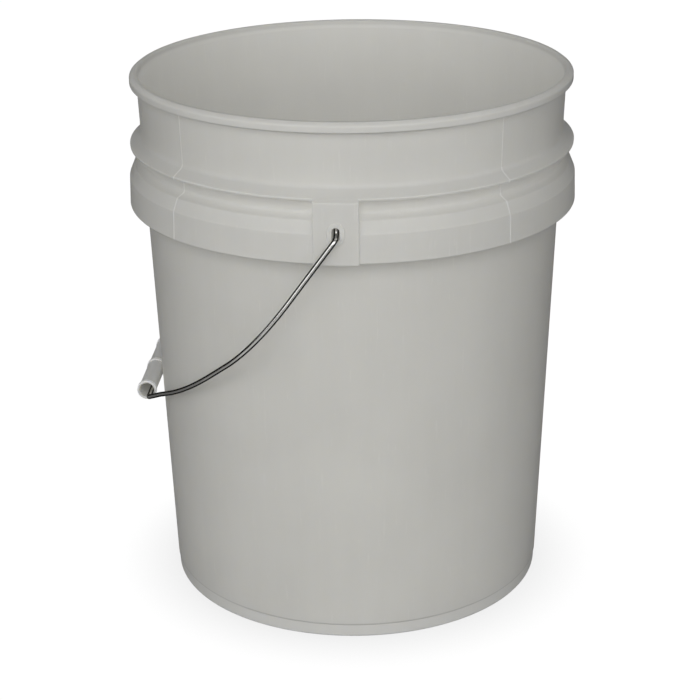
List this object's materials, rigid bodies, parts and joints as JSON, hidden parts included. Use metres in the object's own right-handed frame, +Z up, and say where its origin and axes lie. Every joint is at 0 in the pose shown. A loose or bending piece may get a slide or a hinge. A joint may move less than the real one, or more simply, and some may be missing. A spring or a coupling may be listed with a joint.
{
  "type": "plastic fermenting bucket",
  "caption": "Open tapered plastic bucket with a rolled rim, two stacking rings, moulded ears and a swinging wire bail with a turning tubular hand grip.",
  "frame": {"origin": "centre of the foot ring's contact plane, on the bucket's axis", "axes": "+Z up along the bucket's axis; Y through the two ears and the bail's hinge axis; the bail hangs towards -X at rest"},
  "size_m": [0.3082, 0.3242, 0.3683],
  "materials": {
    "bucket_plastic": "satin moulded polyethylene, light warm grey",
    "wire_steel": "bright drawn and galvanised wire",
    "grip_plastic": "satin moulded plastic, pale grey"
  },
  "bodies": {
    "bucket": {"bucket": "bucket_plastic"},
    "bail": {"bail": "wire_steel"},
    "grip": {"grip": "grip_plastic"}
  },
  "joints": [
    {"name": "bail_swing", "type": "hinge", "parent": "bucket", "child": "bail", "pos_m": [0, 0, 0.296], "axis": [0, 1, 0], "range_deg": [0, 272.5]},
    {"name": "grip_spin", "type": "hinge", "parent": "bail", "child": "grip", "pos_m": [-0.14487, 0, 0.1435], "axis": [0, 1, 0], "continuous": true}
  ]
}
